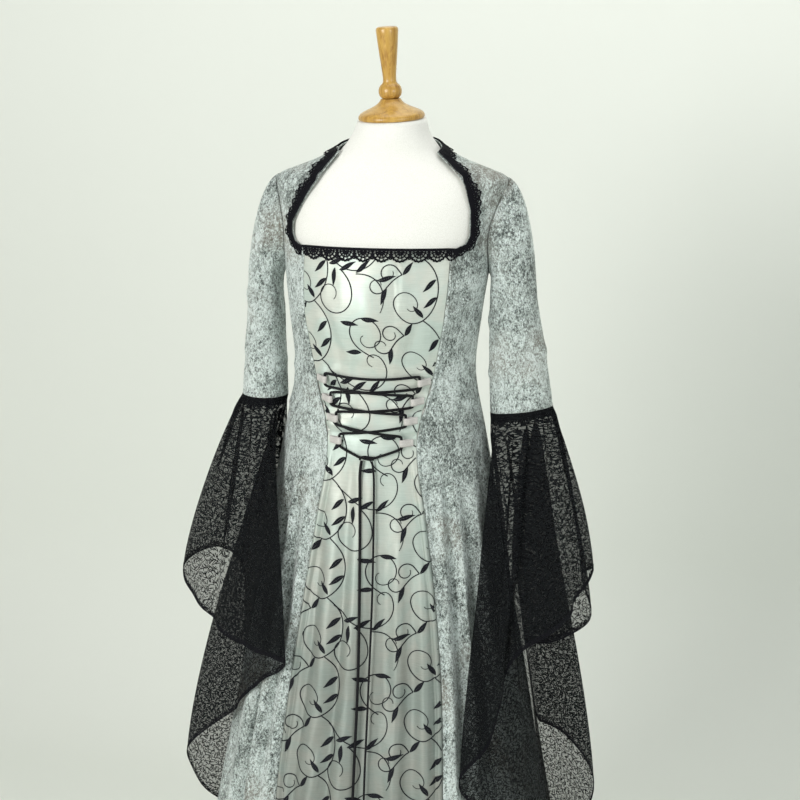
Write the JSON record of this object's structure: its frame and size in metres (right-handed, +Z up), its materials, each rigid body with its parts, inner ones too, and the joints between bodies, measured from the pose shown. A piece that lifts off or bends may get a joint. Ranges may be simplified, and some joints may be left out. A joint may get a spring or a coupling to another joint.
{
  "type": "maxi dress on a dress form",
  "caption": "Floor length laced dress with a square neck, flocked front panel and wide sheer bell sleeves, worn by a limbless dress form on a round stand.",
  "frame": {"origin": "centre of the stand's round base, on the floor", "axes": "+Z up, the dress faces -Y, +X is the right of the picture"},
  "size_m": [0.6885, 0.5553, 1.6303],
  "materials": {
    "velvet": "crushed velvet",
    "taffeta": "satin with black flocked scrolls",
    "sheer_net": "sheer net with small black dashes",
    "black_lace": "matte",
    "ribbon": "satin",
    "lacing_cord": "matte",
    "jersey": "matte",
    "turned_wood": "satin varnish",
    "stand_metal": "satin"
  },
  "bodies": {
    "root": {"stand_base": "stand_metal", "stand_pole": "stand_metal", "form_torso": "jersey", "neck_cap": "turned_wood", "finial": "turned_wood", "front_panel": "taffeta", "side_front_left": "velvet", "back_left": "velvet", "sleeve_left": "velvet", "bell_left": "sheer_net", "cuff_trim_left": "black_lace", "bell_hem_trim_left": "black_lace", "side_front_right": "velvet", "back_right": "velvet", "sleeve_right": "velvet", "bell_right": "sheer_net", "cuff_trim_right": "black_lace", "bell_hem_trim_right": "black_lace", "neck_trim": "black_lace", "loop_left_1": "ribbon", "lace_in_left_1": "lacing_cord", "loop_right_1": "ribbon", "lace_in_right_1": "lacing_cord", "loop_left_2": "ribbon", "lace_in_left_2": "lacing_cord", "loop_right_2": "ribbon", "lace_in_right_2": "lacing_cord", "loop_left_3": "ribbon", "lace_in_left_3": "lacing_cord", "loop_right_3": "ribbon", "lace_in_right_3": "lacing_cord", "loop_left_4": "ribbon", "lace_in_left_4": "lacing_cord", "loop_right_4": "ribbon", "lace_in_right_4": "lacing_cord", "lace_top": "lacing_cord", "lace_over_1": "lacing_cord", "lace_under_1": "lacing_cord", "lace_over_2": "lacing_cord", "lace_under_2": "lacing_cord", "lace_over_3": "lacing_cord", "lace_under_3": "lacing_cord", "lace_low_left": "lacing_cord", "lace_low_right": "lacing_cord", "lace_knot": "lacing_cord", "lace_end_left": "lacing_cord", "lace_end_right": "lacing_cord"}
  },
  "joints": []
}
